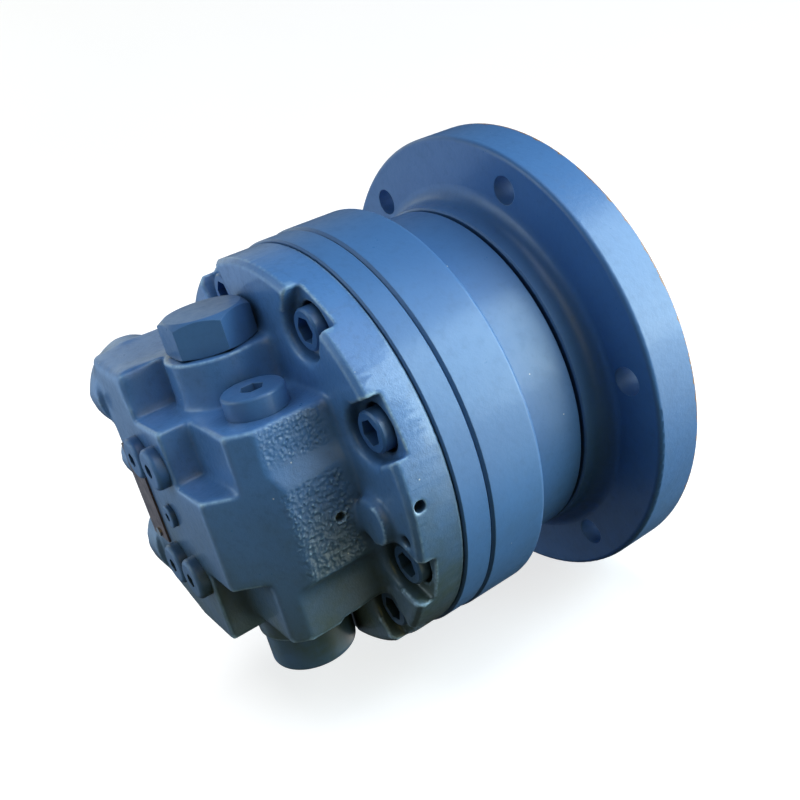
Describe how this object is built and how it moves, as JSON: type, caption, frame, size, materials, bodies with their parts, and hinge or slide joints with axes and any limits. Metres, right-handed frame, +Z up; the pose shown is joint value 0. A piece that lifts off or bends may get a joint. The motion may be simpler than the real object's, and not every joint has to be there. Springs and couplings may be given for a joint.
{
  "type": "hydraulic drive motor",
  "caption": "Flange-mounted radial-piston hydraulic motor with a splined shaft, a stepped round case and a cast valve housing with a vertical spool.",
  "frame": {"origin": "centre of the mounting flange's mating face", "axes": "+X along the shaft, out of the motor; +Z up along the spool axis; -Y towards the front side that the picture shows"},
  "size_m": [0.321, 0.3, 0.3],
  "materials": {
    "blue_paint": "satin",
    "painted_screws": "satin",
    "machined_steel": "satin",
    "roller_steel": "polished",
    "dark_steel": "satin",
    "cast_iron": "matte",
    "cage_brass": "satin",
    "distributor_bronze": "satin",
    "seal_rubber": "matte",
    "plate_metal": "satin",
    "rivet_metal": "satin"
  },
  "bodies": {
    "housing": {"mounting_flange": "blue_paint", "flange_screws": "dark_steel", "front_housing": "blue_paint", "cam_ring": "blue_paint", "housing_o_rings": "seal_rubber", "valve_housing": "blue_paint", "housing_screws": "painted_screws", "seal_carrier": "machined_steel", "shaft_seal": "seal_rubber", "snap_ring": "dark_steel", "inner_bearing_cup": "machined_steel", "outer_bearing_cup": "machined_steel", "distributor": "distributor_bronze", "distributor_springs": "dark_steel", "distributor_seal_rings": "seal_rubber", "distributor_pins": "dark_steel", "top_spool_spring": "dark_steel", "bottom_spool_spring": "dark_steel", "top_spool_plug": "blue_paint", "bottom_spool_plug": "blue_paint", "spool_plug_o_rings": "seal_rubber", "relief_cap": "blue_paint", "relief_seat": "machined_steel", "relief_spring": "dark_steel", "gallery_plugs": "blue_paint", "centre_plug": "blue_paint", "nameplate": "plate_metal", "nameplate_rivets": "rivet_metal"},
    "shaft": {"output_shaft": "machined_steel", "cylinder_block": "cast_iron", "inner_bearing_cone": "machined_steel", "outer_bearing_cone": "machined_steel", "bearing_lock_nut": "dark_steel"},
    "inner_bearing_set": {"inner_bearing_rollers": "roller_steel", "inner_bearing_cage": "cage_brass"},
    "outer_bearing_set": {"outer_bearing_rollers": "roller_steel", "outer_bearing_cage": "cage_brass"},
    "piston_1_body": {"piston_1": "machined_steel"},
    "roller_1_body": {"cam_roller_1": "roller_steel"},
    "piston_2_body": {"piston_2": "machined_steel"},
    "roller_2_body": {"cam_roller_2": "roller_steel"},
    "piston_3_body": {"piston_3": "machined_steel"},
    "roller_3_body": {"cam_roller_3": "roller_steel"},
    "piston_4_body": {"piston_4": "machined_steel"},
    "roller_4_body": {"cam_roller_4": "roller_steel"},
    "piston_5_body": {"piston_5": "machined_steel"},
    "roller_5_body": {"cam_roller_5": "roller_steel"},
    "piston_6_body": {"piston_6": "machined_steel"},
    "roller_6_body": {"cam_roller_6": "roller_steel"},
    "piston_7_body": {"piston_7": "machined_steel"},
    "roller_7_body": {"cam_roller_7": "roller_steel"},
    "piston_8_body": {"piston_8": "machined_steel"},
    "roller_8_body": {"cam_roller_8": "roller_steel"},
    "spool_body": {"spool": "machined_steel", "spool_spring_seats": "dark_steel"},
    "poppet_body": {"relief_poppet": "machined_steel"}
  },
  "joints": [
    {"name": "shaft_spin", "type": "hinge", "parent": "housing", "child": "shaft", "pos_m": [0, 0, 0], "axis": [1, 0, 0], "continuous": true},
    {"name": "inner_bearing_spin", "type": "hinge", "parent": "housing", "child": "inner_bearing_set", "pos_m": [-0.1045, 0, 0], "axis": [1, 0, 0], "continuous": true},
    {"name": "outer_bearing_spin", "type": "hinge", "parent": "housing", "child": "outer_bearing_set", "pos_m": [-0.044, 0, 0], "axis": [1, 0, 0], "continuous": true},
    {"name": "piston_1_slide", "type": "slide", "parent": "shaft", "child": "piston_1_body", "axis": [0, -0.1305, 0.9914], "range_m": [0, 0.0007]},
    {"name": "cam_roller_1_spin", "type": "hinge", "parent": "piston_1_body", "child": "roller_1_body", "pos_m": [-0.144, -0.00949, 0.07208], "axis": [1, 0, 0], "continuous": true},
    {"name": "piston_2_slide", "type": "slide", "parent": "shaft", "child": "piston_2_body", "axis": [0, -0.7934, 0.6088], "range_m": [0, 0.0007]},
    {"name": "cam_roller_2_spin", "type": "hinge", "parent": "piston_2_body", "child": "roller_2_body", "pos_m": [-0.144, -0.05768, 0.04426], "axis": [1, 0, 0], "continuous": true},
    {"name": "piston_3_slide", "type": "slide", "parent": "shaft", "child": "piston_3_body", "axis": [0, -0.9914, -0.1305], "range_m": [0, 0.0048]},
    {"name": "cam_roller_3_spin", "type": "hinge", "parent": "piston_3_body", "child": "roller_3_body", "pos_m": [-0.144, -0.07208, -0.00949], "axis": [1, 0, 0], "continuous": true},
    {"name": "piston_4_slide", "type": "slide", "parent": "shaft", "child": "piston_4_body", "axis": [0, -0.6088, -0.7934], "range_m": [0, 0.0048]},
    {"name": "cam_roller_4_spin", "type": "hinge", "parent": "piston_4_body", "child": "roller_4_body", "pos_m": [-0.144, -0.04426, -0.05768], "axis": [1, 0, 0], "continuous": true},
    {"name": "piston_5_slide", "type": "slide", "parent": "shaft", "child": "piston_5_body", "axis": [0, 0.1305, -0.9914], "range_m": [0, 0.0007]},
    {"name": "cam_roller_5_spin", "type": "hinge", "parent": "piston_5_body", "child": "roller_5_body", "pos_m": [-0.144, 0.00949, -0.07208], "axis": [1, 0, 0], "continuous": true},
    {"name": "piston_6_slide", "type": "slide", "parent": "shaft", "child": "piston_6_body", "axis": [0, 0.7934, -0.6088], "range_m": [0, 0.0007]},
    {"name": "cam_roller_6_spin", "type": "hinge", "parent": "piston_6_body", "child": "roller_6_body", "pos_m": [-0.144, 0.05768, -0.04426], "axis": [1, 0, 0], "continuous": true},
    {"name": "piston_7_slide", "type": "slide", "parent": "shaft", "child": "piston_7_body", "axis": [0, 0.9914, 0.1305], "range_m": [0, 0.0048]},
    {"name": "cam_roller_7_spin", "type": "hinge", "parent": "piston_7_body", "child": "roller_7_body", "pos_m": [-0.144, 0.07208, 0.00949], "axis": [1, 0, 0], "continuous": true},
    {"name": "piston_8_slide", "type": "slide", "parent": "shaft", "child": "piston_8_body", "axis": [0, 0.6088, 0.7934], "range_m": [0, 0.0048]},
    {"name": "cam_roller_8_spin", "type": "hinge", "parent": "piston_8_body", "child": "roller_8_body", "pos_m": [-0.144, 0.04426, 0.05768], "axis": [1, 0, 0], "continuous": true},
    {"name": "spool_slide", "type": "slide", "parent": "housing", "child": "spool_body", "axis": [0, 0, 1], "range_m": [-0.007, 0.007], "stiffness_N_per_m": 4000, "deforming": ["top_spool_spring", "bottom_spool_spring"]},
    {"name": "relief_poppet_slide", "type": "slide", "parent": "housing", "child": "poppet_body", "axis": [0, 0, 1], "range_m": [0, 0.003], "stiffness_N_per_m": 2000, "springref_m": -0.003, "deforming": ["relief_spring"]}
  ],
  "couplings": [
    {"joint": "inner_bearing_spin", "follows": "shaft_spin", "ratio": 0.424},
    {"joint": "outer_bearing_spin", "follows": "shaft_spin", "ratio": 0.424},
    {"joint": "cam_roller_1_spin", "follows": "shaft_spin", "ratio": -7.9091},
    {"joint": "cam_roller_2_spin", "follows": "shaft_spin", "ratio": -7.9091},
    {"joint": "cam_roller_3_spin", "follows": "shaft_spin", "ratio": -7.9091},
    {"joint": "cam_roller_4_spin", "follows": "shaft_spin", "ratio": -7.9091},
    {"joint": "cam_roller_5_spin", "follows": "shaft_spin", "ratio": -7.9091},
    {"joint": "cam_roller_6_spin", "follows": "shaft_spin", "ratio": -7.9091},
    {"joint": "cam_roller_7_spin", "follows": "shaft_spin", "ratio": -7.9091},
    {"joint": "cam_roller_8_spin", "follows": "shaft_spin", "ratio": -7.9091},
    {"joint": "piston_4_slide", "follows": "piston_3_slide", "ratio": 1},
    {"joint": "piston_7_slide", "follows": "piston_3_slide", "ratio": 1},
    {"joint": "piston_8_slide", "follows": "piston_3_slide", "ratio": 1},
    {"joint": "piston_2_slide", "follows": "piston_1_slide", "ratio": 1},
    {"joint": "piston_5_slide", "follows": "piston_1_slide", "ratio": 1},
    {"joint": "piston_6_slide", "follows": "piston_1_slide", "ratio": 1}
  ]
}
